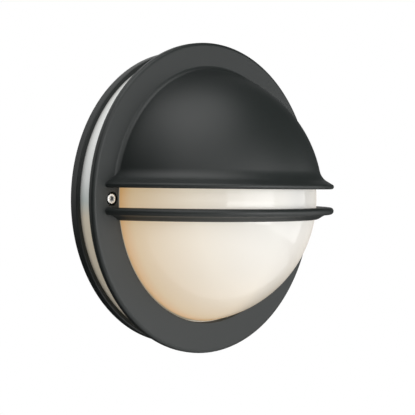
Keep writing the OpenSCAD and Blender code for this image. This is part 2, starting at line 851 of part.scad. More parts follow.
wall_base();
base_gasket();
diffuser();
front_cover();
cover_screws();
screw_seals();
fixing_seals();
cable_grommet();
terminal_block();
terminal_sleeves();
terminal_clamps();
terminal_screw();
earth_washer();
earth_screw();
reflector();
lead_bush();
reflector_screws();
holder_bracket();
bracket_screws();
lampholder_body();
lampholder_shell();
lampholder_contact();
lampholder_terminals();
holder_screws();
lamp_bulb();
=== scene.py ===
"""Dresses the round wall light: cast cover with a half hood, opal dome, base and cover screws."""

import json
import math

import bpy
from mathutils import Matrix, Vector


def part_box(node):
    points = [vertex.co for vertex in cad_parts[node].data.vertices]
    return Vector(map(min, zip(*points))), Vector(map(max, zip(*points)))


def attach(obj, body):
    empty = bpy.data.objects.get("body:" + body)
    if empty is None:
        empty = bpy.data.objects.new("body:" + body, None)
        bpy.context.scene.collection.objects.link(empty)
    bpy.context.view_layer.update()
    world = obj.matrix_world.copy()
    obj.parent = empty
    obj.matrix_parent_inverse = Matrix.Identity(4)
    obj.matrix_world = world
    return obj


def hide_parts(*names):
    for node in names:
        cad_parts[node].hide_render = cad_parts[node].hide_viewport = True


bl_info = {
    "name": "Round Wall Light",
    "version": (1, 0, 0),
    "blender": (4, 5, 0),
    "location": "View3D > Sidebar > Wall Light",
    "description": "Models and finishes a round wall light over its frame",
    "category": "Object",
}

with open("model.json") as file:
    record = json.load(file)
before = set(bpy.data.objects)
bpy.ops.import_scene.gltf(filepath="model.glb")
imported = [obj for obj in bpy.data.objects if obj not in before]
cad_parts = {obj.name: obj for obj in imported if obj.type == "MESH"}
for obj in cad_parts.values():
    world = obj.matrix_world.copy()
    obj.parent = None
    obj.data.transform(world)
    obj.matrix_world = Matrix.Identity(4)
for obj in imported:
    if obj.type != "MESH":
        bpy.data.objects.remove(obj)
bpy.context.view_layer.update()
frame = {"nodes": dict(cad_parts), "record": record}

MM = 0.001
LIGHT_AXIS = (0, 1, 0)
UPRIGHT_AXIS = (0, 0, 1)
ROUND = 256  # steps of a large turned form
WELD = 1e-6  # points nearer than this are one point
BEYOND = 2 * MM  # how far a cutting form reaches past a face
LET_IN = 1.5 * MM  # how deep hood and bar are let into the ring
SCREW_HOLE = 2.75 * MM  # radius of the cover screws' through holes
HEAD_HEIGHT = 3.5 * MM  # height of the cover screws' heads
FLOOR_TOP = 4 * MM  # the base's floor, from the wall
RELIEF = 1.2 * MM  # hollow behind the base's floor
RIB_START = 24 * MM  # radius of the base's centre ring
RIB_HEIGHT = 2.4 * MM  # of that ring and the ribs, above the floor
LIP_WALL = 2.5 * MM  # the base's lip inside the gasket's groove
GROOVE_PLAY = 0.4 * MM  # room beside the skirt in that groove

# Soft lamps: name, azimuths, elevations and radiance, where a white wall has radiance 1
LAMPS = (
    ("window", (-15, 32), (-19, 18), 1.74),
    ("window", (0, 32), (-19, 18), 1.09),
    ("window", (14, 32), (-19, 18), 0.42),
    ("window_low", (-15, 14), (-19, -2), 1.86),
    ("window_low", (14, 32), (-19, -2), 1.15),
    ("window_top", (-15, 32), (18, 38), 0.94),
    ("right", (32, 78), (-23, 15), 1.18),
    ("front", (-64, -16), (10, 48), 1.15),
    ("ceiling", (-58, -12), (51, 97), 2.13),
    ("upper_left", (-120, -60), (38, 75), 0.73),
)
LAMP_DISTANCE = 1.7  # from the light to each soft lamp
STAGE_FLOOR = 4.0  # edge of the pale floor
STAGE_DROP = 1.0  # depth of that floor below the middle of the light
ROOM_LEVEL = 0.03  # strength of the dim room round the light
GROUND_LEVEL = 0.35  # what the paler ground adds to it


def front_of(node):
    """Distance from the wall to a node's front."""
    return -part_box(node)[0].y


def back_of(node):
    """Distance from the wall to a node's back."""
    return -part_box(node)[1].y


def radius_of(node):
    """Outside radius of a node about the light's axis."""
    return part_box(node)[1].x


def middle_of(node):
    """A node's middle as (across, up)."""
    low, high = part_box(node)
    return (low.x + high.x) / 2, (low.z + high.z) / 2


def pair_of(node):
    """The middles of two like round pieces, one above the other, from the box round both."""
    low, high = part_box(node)
    radius = (high.x - low.x) / 2
    return [(low.x + radius, low.z + radius), (low.x + radius, high.z - radius)]


def screw_places(sizes):
    """The cover screws' places as (across, up)."""
    return [(side * sizes.screw_place, 0.0) for side in (-1, 1)]


def length(name, description, default, high=0.3):
    """A size in metres, shown in the scene's own unit."""
    return bpy.props.FloatProperty(
        name=name,
        description=description,
        default=default,
        min=0.0,
        max=high,
        precision=5,
        unit="LENGTH",
    )


def angle(name, description, degrees):
    """An angle, written in degrees."""
    return bpy.props.FloatProperty(
        name=name, description=description, default=math.radians(degrees), subtype="ANGLE"
    )


def tint(name, description, default):
    """A colour as it is written into a material."""
    return bpy.props.FloatVectorProperty(
        name=name,
        description=description,
        default=default,
        min=0.0,
        max=1.0,
        size=3,
        subtype="COLOR",
    )


class LightSizes(bpy.types.PropertyGroup):
    """Sizes of the cover, dome and base."""

    ring_radius: length("Ring Radius", "Outside radius of the ring", radius_of("front_cover"))
    ring_back: length("Ring Back", "From the wall to the ring's back", back_of("front_cover"))
    ring_thickness: length("Ring Thickness", "Thickness of the ring at its rim", 6 * MM)
    ring_edge: length("Ring Edge", "Rounding of the ring's outer front edge", 3 * MM)
    opening_radius: length("Opening Radius", "Radius of the ring's opening", 108.2 * MM)
    hood_radius: length("Hood Radius", "Radius of the hood's ball", 115.5 * MM)
    hood_centre: length("Hood Centre", "From the wall to the centre of the hood's ball", 9.0 * MM)
    hood_wall: length("Hood Wall", "Wall thickness of the hood", 3 * MM)
    root_radius: length("Root Fillet", "Fillet between hood and ring", 4.5 * MM)
    lip_height: length("Lip Height", "Height of the lip's underside above the middle", 9 * MM)
    lip_reach: length("Lip Reach", "How far the lip stands out beyond the hood", 9.8 * MM)
    lip_nose: length("Lip Nose", "Radius of the lip's nose", 2.2 * MM)
    lip_sweep: length("Lip Sweep", "Radius of the hollow curve above the lip", 14 * MM)
    lip_fall: angle("Lip Fall", "Slope of the lip's upper face", 30)
    bar_drop: length("Bar Drop", "Depth of the bar's top below the middle", 7 * MM)
    bar_height: length("Bar Height", "Height of the bar", 10.8 * MM)
    bar_nose: length("Bar Nose", "Radius of the bar's nose", 3.05 * MM)
    bar_level: length("Bar Level", "Level stretch under the bar's nose", 1.8 * MM)
    bar_inside: length("Bar Inside", "Inner radius of the bar", 111.0 * MM)
    dome_radius: length("Dome Radius", "Radius of the dome's ball", 109.43 * MM)
    skirt_radius: length("Skirt Radius", "Outside radius of the skirt", radius_of("diffuser"))
    diffuser_wall: length("Diffuser Wall", "Wall thickness of the diffuser", 2.5 * MM)
    base_radius: length("Base Radius", "Outside radius of the base", radius_of("wall_base"))
    base_height: length("Base Height", "Height of the base's rim", 8 * MM)
    screw_place: length("Screw Place", "From the middle to the cover screws", 115.5 * MM)
    screw_head: length("Screw Head", "Head radius of the cover screws", 4.25 * MM)


class LightColours(bpy.types.PropertyGroup):
    """Colours of the finishes, and of the painted light and shade that the diffuser glows with."""

    powder: tint("Powder Coat", "Satin black powder coat", (0.0113, 0.0147, 0.0139))
    opal: tint("Opal", "Opal plastic of the diffuser", (0.62, 0.595, 0.558))
    # The glow colours are painted light and shade in the diffuser's emission, not light from the
    # lamp
    glow_ring: tint("Ring Glow", "Warmest light, against the ring", (0.44, 0.235, 0.065))
    glow_root: tint("Root Glow", "Warm light in front of the ring", (0.449, 0.317, 0.162))
    glow_half: tint("Half Way Glow", "Light of the dome half way out", (0.372, 0.322, 0.247))
    glow_front: tint("Front Glow", "Light of the dome at its front", (0.215, 0.225, 0.23))
    # Painted light that fills the shade of lip and bar on the dome
    painted_slot_light: tint("Slot Glow", "Light added between lip and bar", (0.18, 0.165, 0.13))
    # Painted light on the dome's right side
    painted_side_light: tint("Side Glow", "Light added on the dome's right side", (0.13, 0.13, 0.135))
    glow_skirt: tint("Skirt Glow", "Light of the skirt high up", (0.38, 0.4, 0.4))
    # Painted shadow of the screw's post on the skirt's glow
    glow_skirt_post_shadow: tint("Post Glow", "Light of the skirt beside a post", (0.15, 0.185, 0.18))
    glow_skirt_low: tint("Low Skirt Glow", "Warmer light low on the skirt", (0.29, 0.25, 0.18))
    lamp: tint("Lamp", "Opal glass of the lamp", (0.86, 0.84, 0.79))
    stainless: tint("Stainless", "Stainless steel of the screws", (0.62, 0.62, 0.61))
    zinc: tint("Zinc", "Zinc plate inside", (0.6, 0.62, 0.64))
    brass: tint("Brass", "Brass inside", (0.75, 0.56, 0.25))
    porcelain: tint("Porcelain", "Glazed lampholder", (0.85, 0.83, 0.78))
    rubber: tint("Rubber", "Seals and grommet", (0.03, 0.03, 0.032))
    enamel: tint("Enamel", "White reflector", (0.86, 0.86, 0.85))
    floor: tint("Floor", "Pale floor far below the light", (0.86, 0.86, 0.85))


class CameraPlace(bpy.types.PropertyGroup):
    """Where the camera stands, from the photograph's perspective."""

    azimuth: angle("Azimuth", "Angle round the light", -45.437)
    elevation: angle("Elevation", "Angle above the horizon", 0.82)
    roll: angle("Roll", "Tilt of the camera about its own axis", 0.626)
    pan: angle("Pan", "How far the aim lies beside the ring's centre", 0.3169)
    tilt: angle("Tilt", "How far the aim lies under the ring's centre", -0.4688)
    distance: length("Distance", "From the ring's centre to the camera", 0.967403, high=5.0)
    lens: bpy.props.FloatProperty(
        name="Lens",
        description="Focal length in millimetres",
        default=96.21,
        min=10.0,
        max=300.0,
        unit="CAMERA",
    )


# Modelling


def let_go():
    """Leaves edit mode and selects nothing."""
    if bpy.context.object and bpy.context.object.mode != "OBJECT":
        bpy.ops.object.mode_set(mode="OBJECT")
    bpy.ops.object.select_all(action="DESELECT")


def take(*pieces):
    """Selects the pieces, the first one active."""
    let_go()
    for piece in pieces:
        piece.select_set(True)
    bpy.context.view_layer.objects.active = pieces[0]


def settle(piece):
    """Puts the piece's place into its mesh."""
    take(piece)
    bpy.ops.object.transform_apply(location=True, rotation=True, scale=True)


def arc(across, up, radius, start, end, steps):
    """Points of an arc in a section, from start to end in degrees."""
    angles = [math.radians(start + (end - start) * i / steps) for i in range(steps + 1)]
    return [(across + radius * math.cos(a), up + radius * math.sin(a)) for a in angles]


def about_light(section):
    """A section of (radius, distance from the wall) laid in a plane that holds the light's axis."""
    return [Vector((r, -out, 0.0)) for r, out in section]


def about_upright(section, centre):
    """A section of (radius, height) beside the upright axis through the hood's centre."""
    return [Vector((r, -centre, z)) for r, z in section]


def draw_line(name, points, closed):
    """Draws the points as one line of edges, extruded from a single corner."""
    let_go()
    bpy.ops.mesh.primitive_plane_add(size=MM, location=points[0])
    piece = bpy.context.object
    piece.name = name
    bpy.ops.object.mode_set(mode="EDIT")
    bpy.ops.mesh.select_all(action="SELECT")
    bpy.ops.mesh.merge(type="CENTER")
    steps = [there - here for here, there in zip(points, points[1:])]
    if closed:
        steps.append(points[0] - points[-1])
    for step in steps:
        bpy.ops.mesh.extrude_vertices_move(TRANSFORM_OT_translate={"value": step})
    bpy.ops.mesh.select_all(action="SELECT")
    bpy.ops.mesh.remove_doubles(threshold=WELD)
    return piece


def spin(name, points, centre=(0, 0, 0), axis=LIGHT_AXIS, steps=ROUND, closed=True):
    """Turns a section into a body of revolution."""
    piece = draw_line(name, points, closed)
    bpy.ops.mesh.spin(steps=steps, angle=math.tau, center=centre, axis=axis)
    bpy.ops.mesh.select_all(action="SELECT")
    bpy.ops.mesh.remove_doubles(threshold=2 * WELD)
    bpy.ops.mesh.normals_make_consistent(inside=False)
    settle(piece)
    return piece


def cut_away(piece, place, towards):
    """Removes what lies beyond a plane, and closes the cut."""
    take(piece)
    bpy.ops.object.mode_set(mode="EDIT")
    bpy.ops.mesh.select_all(action="SELECT")
    bpy.ops.mesh.bisect(plane_co=place, plane_no=towards, use_fill=True, clear_outer=True)
    bpy.ops.mesh.select_all(action="SELECT")
    bpy.ops.mesh.normals_make_consistent(inside=False)
    let_go()


def turned(name, section, place, sides=64):
    """A small piece of revolution about an axis that stands out of the wall at place."""
    centre = Vector((place[0], 0.0, place[1]))
    points = [centre + point for point in about_light(section)]
    return spin(name, points, centre, steps=sides, closed=False)


def rod(name, radius, low, high, place, sides=48):
    """A round rod along the light's axis, from low to high above the wall."""
    let_go()
    bpy.ops.mesh.primitive_cylinder_add(
        vertices=sides,
        radius=radius,
        depth=high - low,
        location=(place[0], -(low + high) / 2, place[1]),
        rotation=(math.pi / 2, 0.0, 0.0),
    )
    piece = bpy.context.object
    piece.name = name
    settle(piece)
    return piece


def block(name, size, place, turn=0.0):
    """A block with its middle at place, turned about the light's axis."""
    let_go()
    bpy.ops.mesh.primitive_cube_add(size=1.0, location=(0.0, 0.0, 0.0), scale=size)
    piece = bpy.context.object
    piece.name = name
    bpy.ops.object.transform_apply(location=False, rotation=False, scale=True)
    piece.location = place
    settle(piece)
    piece.rotation_euler = (0.0, turn, 0.0)
    settle(piece)
    return piece


def combine(piece, other, operation):
    """Adds another solid to the piece or takes it away."""
    take(piece)
    bpy.ops.object.modifier_add(type="BOOLEAN")
    step = piece.modifiers[-1]
    step.operation = operation
    step.solver = "EXACT"
    step.object = other
    bpy.ops.object.modifier_apply(modifier=step.name)
    bpy.data.objects.remove(other)


def join(name, pieces):
    """Makes the pieces one object."""
    take(*pieces)
    bpy.ops.object.join()
    piece = bpy.context.object
    piece.name = name
    piece.data.name = name
    return piece


def finish_piece(piece, material, node, smooth_below=32):
    """Smooths edges below an angle in degrees, sets the material and ties it to the frame."""
    take(piece)
    bpy.ops.object.shade_smooth_by_angle(angle=math.radians(smooth_below))
    bpy.ops.object.modifier_add(type="WEIGHTED_NORMAL")
    piece.modifiers[-1].keep_sharp = True
    bpy.ops.object.modifier_apply(modifier=piece.modifiers[-1].name)
    piece.data.materials.clear()
    piece.data.materials.append(material)
    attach(piece, "root")
    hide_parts(node)
    let_go()


# Materials


class Wire:
    """A socket whose value is worked with as in a sum."""

    def __init__(self, recipe, socket):
        self.recipe = recipe
        self.socket = socket

    def maths(self, operation, first, second):
        return self.recipe.node("ShaderNodeMath", {"operation": operation}, (first, second))

    def __add__(self, other):
        return self.maths("ADD", self, other)

    def __mul__(self, other):
        return self.maths("MULTIPLY", self, other)

    def __sub__(self, other):
        return self.maths("SUBTRACT", self, other)

    def __rsub__(self, other):
        return self.maths("SUBTRACT", other, self)

    def __truediv__(self, other):
        return self.maths("DIVIDE", self, other)

    def __rtruediv__(self, other):
        return self.maths("DIVIDE", other, self)

    __radd__ = __add__
    __rmul__ = __mul__

    def out(self, name):
        """Another output of the same node."""
        return Wire(self.recipe, self.socket.node.outputs[name])

    def between(self, low, high):
        """Nought at low, one at high, and smooth between them."""
        settings = {"interpolation_type": "SMOOTHSTEP"}
        values = {"Value": self, "From Min": low, "From Max": high}
        return self.recipe.node("ShaderNodeMapRange", settings, values)


class Recipe:
    """A material's nodes, written out one after another."""

    def __init__(self, name):
        self.material = bpy.data.materials.new(name)
        self.material.use_nodes = True
        self.tree = self.material.node_tree
        self.shader = self.tree.nodes["Principled BSDF"]
        self.place = Wire(self, self.tree.nodes.new("ShaderNodeTexCoord").outputs["Object"])

    @classmethod
    def of_world(cls, world):
        """The world's nodes, where a place is a direction."""
        made = cls.__new__(cls)
        made.material = world
        made.tree = world.node_tree
        made.shader = made.tree.nodes["Background"]
        made.place = Wire(made, made.tree.nodes.new("ShaderNodeTexCoord").outputs["Generated"])
        return made

    def put(self, socket, value):
        """Links a wire to the socket, or writes a number, a vector or a colour into it."""
        if isinstance(value, Wire):
            self.tree.links.new(value.socket, socket)
        elif socket.type == "RGBA":
            socket.default_value = (*value, 1.0)
        else:
            socket.default_value = value

    def node(self, kind, settings, values, output=0):
        """Adds a node with its settings and the values or links of its sockets."""
        made = self.tree.nodes.new(kind)
        for name, value in settings.items():
            if name == "stops":
                self.set_stops(made.color_ramp, value)
            else:
                setattr(made, name, value)
        pairs = values.items() if isinstance(values, dict) else enumerate(values)
        for key, value in pairs:
            self.put(made.inputs[key], value)
        return Wire(self, made.outputs[output])

    def set_stops(self, ramp, stops):
        """Gives a ramp its stops, each a position and a colour."""
        for position, colour in stops[1:-1]:
            ramp.elements.new(position)
        for element, (position, colour) in zip(ramp.elements, stops):
            element.position, element.color = position, (*colour, 1.0)

    def ramp(self, amount, *stops):
        """A colour that runs through the stops as the amount grows."""
        return self.node("ShaderNodeValToRGB", {"stops": stops}, (amount,))

    def noise(self, scale, detail=2.0, roughness=0.5, place=None):
        """Soft noise, finer as the scale grows."""
        values = {
            "Vector": place or self.place,
            "Scale": scale,
            "Detail": detail,
            "Roughness": roughness,
        }
        return self.node("ShaderNodeTexNoise", {}, values)

    def stretched(self, scale):
        """The piece's own place, stretched along each axis."""
        return self.node("ShaderNodeMapping", {}, {"Vector": self.place, "Scale": scale})

    def along(self, axis):
        """How far a point lies along one axis."""
        return self.node("ShaderNodeSeparateXYZ", {}, (self.place,), output=axis)

    def blend(self, amount, first, second, kind="MIX"):
        """A colour between two others, or their sum where the kind is ADD."""
        settings = {"data_type": "RGBA", "blend_type": kind}
        factor, colour_a, colour_b, colour_out = 0, 6, 7, 2
        values = {factor: amount, colour_a: first, colour_b: second}
        return self.node("ShaderNodeMix", settings, values, output=colour_out)

    def bump(self, height, distance, strength=1.0):
        """A normal that rises and falls with the height."""
        values = {"Height": height, "Distance": distance, "Strength": strength}
        return self.node("ShaderNodeBump", {}, values)

    def rays(self, *kinds):
        """One for rays of the named kinds."""
        path = self.node("ShaderNodeLightPath", {}, ())
        return sum((path.out(kind) for kind in kinds[1:]), path.out(kinds[0]))

    def set(self, **values):
        """Sets the shader's sockets, such as Base_Color."""
        for name, value in values.items():
            self.put(self.shader.inputs[name.replace("_", " ")], value)
        return self.material


def shade(colour, factor):
    """The colour, made darker or lighter."""
    return tuple(min(1.0, c * factor) for c in colour)


def powder_coat(colour):
    """Satin black powder coat with its fine grain."""
    mix = Recipe("powder_coat")
    grain = mix.noise(1500.0, 3.0, 0.6)
    flow = mix.noise(160.0, 2.0)
    cloud = mix.noise(14.0, 2.0)
    return mix.set(
        Base_Color=mix.blend(cloud, shade(colour, 0.9), shade(colour, 1.12)),
        Roughness=0.41 + 0.08 * grain + 0.04 * cloud,
        Normal=mix.bump(grain * 0.6 + flow, 0.06 * MM, 0.6),
        IOR=1.5,
    )


def opal(colours, base_out, ring_out, crown_out):
    """Glossy opal plastic with a painted glow, warmest beside the ring, in place of light coming
    through the plastic; the lamp behind it gives no light.
    """
    mix = Recipe("opal_plastic")
    across, out, height = mix.along(0), mix.along(1) * -1.0, mix.along(2)
    dark = (0.0, 0.0, 0.0)
    cloud = mix.noise(9.0, 2.0)

    # The dome's painted glow, from the ring at nought to its front at one
    depth = (out - ring_out) / (crown_out - ring_out)
    glow = mix.ramp(
        depth,
        (0.0, colours.glow_ring),
        (0.12, colours.glow_root),
        (0.64, colours.glow_half),
        (1.0, colours.glow_front),
    )

    # Painted shade: the glow is dimmer low down, and more so on the right
    right = across.between(-10 * MM, 20 * MM)
    low = (1.0 - height.between(-85 * MM, -30 * MM)) * depth.between(-0.1, 0.2)
    glow = mix.blend(low * (0.04 + 0.4 * right), glow, dark)

    # Painted light: the glow is brighter under the bar, most of all in the slot above it, which lip
    # and bar shade, and along the right side
    under_bar, in_slot = height.between(-70 * MM, -20 * MM), height.between(-14 * MM, -5 * MM)
    painted_fill = (0.35 * under_bar + 0.5 * in_slot) * (0.1 + 0.9 * depth) * (1.0 - 0.85 * right)
    glow = mix.blend(painted_fill, glow, colours.painted_slot_light, "ADD")
    glow = mix.blend(across.between(25 * MM, 60 * MM), glow, colours.painted_side_light, "ADD")

    # The skirt's painted light and shade, from 100 mm under the middle at nought to 100 mm above it
    # at one:
    # warm below, a painted shadow beside the screw's post, cool above
    skirt = mix.ramp(
        0.5 + height / (200 * MM),
        (0.08, shade(colours.glow_skirt_low, 0.75)),
        (0.3, colours.glow_skirt_low),
        (0.42, colours.glow_skirt_low),
        (0.49, colours.glow_skirt_post_shadow),
        (0.58, shade(colours.glow_skirt, 0.78)),
        (0.75, colours.glow_skirt),
    )

    # Painted shade: the skirt's glow is dimmer behind the ring and where it enters the base, and
    # its foot's colour is painted darker
    ring_shade = 0.15 * out.between(ring_out - 18 * MM, ring_out - 6 * MM)
    above_base = out.between(base_out - 3 * MM, base_out + 4 * MM)
    skirt = mix.blend(above_base - ring_shade, dark, skirt)
    foot = out.between(base_out, base_out + 12 * MM)
    body = mix.blend(cloud, shade(colours.opal, 0.985), shade(colours.opal, 1.015))
    on_dome = out.between(ring_out - 2 * MM, ring_out - 1 * MM)
    return mix.set(
        Base_Color=mix.blend(foot, shade(colours.opal, 0.8), body),
        Emission_Color=mix.blend(on_dome, skirt, glow),
        Emission_Strength=1.0,
        Roughness=0.05 + 0.04 * cloud,
        Normal=mix.bump(mix.noise(55.0, 1.0), 0.04 * MM, 0.3),
        IOR=1.5,
    )


def turned_steel(name, colour):
    """Bright metal with fine turning marks."""
    mix = Recipe(name)
    marks = mix.noise(1.0, 2.0, 0.6, place=mix.stretched((2200.0, 220.0, 2200.0)))
    cloud = mix.noise(300.0, 2.0)
    return mix.set(
        Base_Color=mix.blend(cloud, shade(colour, 0.9), shade(colour, 1.08)),
        Metallic=1.0,
        Roughness=0.2 + 0.14 * marks,
        Normal=mix.bump(marks, 0.01 * MM, 0.5),
    )


def dull_metal(name, colour, low, high):
    """Plated or plain metal with faint clouding, its roughness between low and high."""
    mix = Recipe(name)
    cloud = mix.noise(240.0, 3.0)
    return mix.set(
        Base_Color=mix.blend(cloud, shade(colour, 0.85), shade(colour, 1.1)),
        Metallic=1.0,
        Roughness=low + (high - low) * cloud,
        Normal=mix.bump(mix.noise(1800.0), 0.02 * MM, 0.4),
    )


def smooth_coat(name, colour, roughness, scale=400.0):
    """Glaze, enamel or moulded plastic with slight waviness."""
    mix = Recipe(name)
    cloud = mix.noise(scale * 0.1, 2.0)
    return mix.set(
        Base_Color=mix.blend(cloud, shade(colour, 0.95), shade(colour, 1.03)),
        Roughness=roughness + 0.08 * cloud,
        Normal=mix.bump(mix.noise(scale), 0.03 * MM, 0.4),
    )


# Pieces


class LIGHT_OT_cover(bpy.types.Operator):
    """Models the cast cover: ring, flared half hood and bar"""

    bl_idname = "wall_light.cover"
    bl_label = "Cast Cover"

    def execute(self, context):
        sizes = context.scene.light_sizes
        ring_front = sizes.ring_back + sizes.ring_thickness
        upright = (0.0, -sizes.hood_centre, 0.0)
        cover = self.ring(sizes, ring_front)
        for name, section in (("hood", self.hood(sizes)), ("bar", self.bar(sizes))):
            points = about_upright(section, sizes.hood_centre)
            form = spin(name, points, upright, UPRIGHT_AXIS, closed=name == "bar")
            cut_away(form, (0.0, -(ring_front - LET_IN), 0.0), (0.0, 1.0, 0.0))
            combine(cover, form, "UNION")
        root = spin("root", about_light(self.root(sizes, ring_front)))
        cut_away(root, (0.0, 0.0, sizes.lip_height + sizes.lip_nose), (0.0, 0.0, -1.0))
        combine(cover, root, "UNION")
        cover.name = cover.data.name = "cover_casting"
        paint = powder_coat(context.scene.light_colours.powder)
        finish_piece(cover, paint, "front_cover")
        return {"FINISHED"}

    def ring(self, sizes, front):
        """Flat ring, cored behind, with its ribs, screw pads and screw seats"""
        outer_r, inner_r, back = sizes.ring_radius, sizes.opening_radius, sizes.ring_back
        edge, bead, chamfer, level = sizes.ring_edge, 0.8 * MM, 0.6 * MM, 0.3 * MM
        core_in, core_out = inner_r + 3.3 * MM, outer_r - 4 * MM
        core_front = front - 3 * MM
        section = [(inner_r, back), (core_in, back), (core_in, core_front), (core_out, core_front)]
        section += [(core_out, back), (outer_r - chamfer, back), (outer_r, back + chamfer)]
        section += arc(outer_r - edge, front - edge, edge, 0, 90, 10)
        section += [(outer_r - edge - level, front)]
        section += arc(inner_r + bead, front - bead, bead, 90, 180, 5)
        ring = spin("ring", about_light(section))
        combine(ring, join("stays", self.stays(sizes, core_in, core_out, core_front)), "UNION")
        combine(ring, join("seats", self.seats(sizes, front)), "DIFFERENCE")
        return ring

    def stays(self, sizes, core_in, core_out, core_front):
        """Ribs across the ring's core, and the cover screws' pads"""
        back, shy, sunk = sizes.ring_back, 0.05 * MM, 0.3 * MM
        rib_wall, pad_r = 2 * MM, 8 * MM
        depth = core_front - back + sunk
        size = (core_out - core_in + 2 * sunk, depth, rib_wall)
        stays = []
        for turn in range(30, 180, 30):
            for side in (-1, 1):
                middle = (side * (core_in + core_out) / 2, -(back + depth / 2 + shy), 0.0)
                stays.append(block("rib", size, middle, math.radians(turn)))
        low, high = back + shy, core_front + sunk
        return stays + [rod("pad", pad_r, low, high, place, 64) for place in screw_places(sizes)]

    def seats(self, sizes, front):
        """Forms that cut the cover screws' through holes and counterbores"""
        low, high = sizes.ring_back - BEYOND, front + BEYOND
        seat = front_of("cover_screws") - HEAD_HEIGHT
        sink_r, bevel = sizes.screw_head + 1.15 * MM, 0.35 * MM
        mouth_r = sink_r + bevel
        section = [(0.0, low), (SCREW_HOLE, low), (SCREW_HOLE, seat), (sink_r, seat)]
        section += [(sink_r, front - bevel), (mouth_r, front), (mouth_r, high), (0.0, high)]
        return [turned("seat", section, place) for place in screw_places(sizes)]

    def root(self, sizes, front):
        """Section of the fillet at the hood's foot, beside the light's axis"""
        hood_r, root_r, centre = sizes.hood_radius, sizes.root_radius, sizes.hood_centre
        sunk = 0.06 * MM
        rise = front - centre + root_r - sunk
        root_x = math.sqrt((hood_r + root_r - sunk) ** 2 - rise**2)
        foot = math.degrees(math.atan2(rise, root_x))

        # Its back lies inside the ring and the hood's wall
        bed, inner_r, inner_start = front - 0.5 * MM, hood_r - 1.5 * MM, 17
        behind = math.sqrt(inner_r**2 - (bed - centre) ** 2)
        section = arc(root_x, centre + rise, root_r, 180 + foot, 270, 12)
        section += [(root_x, bed), (behind, bed)]
        return section + arc(0.0, centre, inner_r, inner_start, foot, 4)[1:]

    def hood(self, sizes):
        """Section of the ball and its flared lip, beside the upright axis"""
        hood_r, sweep, nose = sizes.hood_radius, sizes.lip_sweep, sizes.lip_nose
        fall = sizes.lip_fall
        nose_x = hood_r + sizes.lip_reach - nose
        nose_z = sizes.lip_height + nose
        level = 0.4 * MM

        # The hollow curve touches the ball and the lip's upper face
        face = (nose_x + nose * math.sin(fall)) * math.sin(fall)
        face += (nose_z + nose * math.cos(fall)) * math.cos(fall)
        reach = hood_r + sweep
        tilt = math.pi / 2 - fall - math.acos((face + sweep) / reach)
        sweep_x, sweep_z = reach * math.cos(tilt), reach * math.sin(tilt)

        inner_r = hood_r - sizes.hood_wall
        inner_foot = math.degrees(math.asin(sizes.lip_height / inner_r))
        fall, tilt = math.degrees(fall), math.degrees(tilt)
        section = arc(0.0, 0.0, inner_r, 90, inner_foot, 64)
        section += [(nose_x - level, sizes.lip_height)]
        section += arc(nose_x, nose_z, nose, -90, 90 - fall, 18)
        section += arc(sweep_x, sweep_z, sweep, 270 - fall, 180 + tilt, 24)
        return section + arc(0.0, 0.0, hood_r, tilt, 90, 64)[1:]

    def bar(self, sizes):
        """Section of the bar, beside the upright axis"""
        tip = sizes.hood_radius + sizes.lip_reach
        nose, drop, inside = sizes.bar_nose, sizes.bar_drop, sizes.bar_inside
        edge, level, closing = 0.5 * MM, 0.4 * MM, 0.1 * MM
        section = [(inside, -drop - edge)]
        section += arc(inside + edge, -drop - edge, edge, 180, 90, 4)[1:]
        section += [(tip - nose - level, -drop)]
        section += arc(tip - nose, -drop - nose, nose, 90, -90, 20)

        # The hollow underside is part of a wave that ends behind the bar's inside
        start, end = tip - nose - sizes.bar_level, inside - 1.9 * MM
        deep, steps = sizes.bar_height - 2 * nose, 24
        for i in range(steps + 1):
            across = start + (end - start) * i / steps
            fall = (1 - math.cos(math.pi * i / steps)) / 2
            if across > inside:
                section.append((across, -drop - 2 * nose - deep * fall))
        section.append((inside, section[-1][1] - closing))
        return section


class LIGHT_OT_diffuser(bpy.types.Operator):
    """Models the opal dome with its shoulder and skirt"""

    bl_idname = "wall_light.diffuser"
    bl_label = "Diffuser"

    def execute(self, context):
        sizes = context.scene.light_sizes
        shoulder, wall, crown = sizes.ring_back, sizes.diffuser_wall, front_of("diffuser")
        dome = spin("diffuser_shell", about_light(self.shell(sizes, crown)), closed=False)
        low, high = shoulder - 2 * wall, shoulder + wall
        holes = [rod("hole", SCREW_HOLE, low, high, place) for place in screw_places(sizes)]
        combine(dome, join("holes", holes), "DIFFERENCE")
        base_out = back_of("wall_base") + sizes.base_height
        ring_out = sizes.ring_back + sizes.ring_thickness
        material = opal(context.scene.light_colours, base_out, ring_out, crown)
        finish_piece(dome, material, "diffuser")
        return {"FINISHED"}

    def shell(self, sizes, crown):
        """Section of the dome, shoulder and skirt, first outside and then inside"""
        ball_r, wall, skirt = sizes.dome_radius, sizes.diffuser_wall, sizes.skirt_radius
        shoulder, foot, centre = sizes.ring_back, back_of("diffuser"), crown - ball_r
        inner_r, inner_skirt, inner_shoulder = ball_r - wall, skirt - wall, shoulder - wall
        edge, bevel, corner = 2 * MM, 0.3 * MM, 1 * MM
        start = math.degrees(math.asin((shoulder - centre) / ball_r))
        inner_start = math.degrees(math.asin((inner_shoulder - centre) / inner_r))
        section = arc(0.0, centre, ball_r, 90, start, 72)
        section += arc(skirt - edge, shoulder - edge, edge, 90, 0, 8)
        section += [(skirt, foot + bevel), (skirt - bevel, foot), (inner_skirt, foot)]
        section += [(inner_skirt, inner_shoulder - corner), (inner_skirt - corner, inner_shoulder)]
        return section + arc(0.0, centre, inner_r, inner_start, 90, 72)


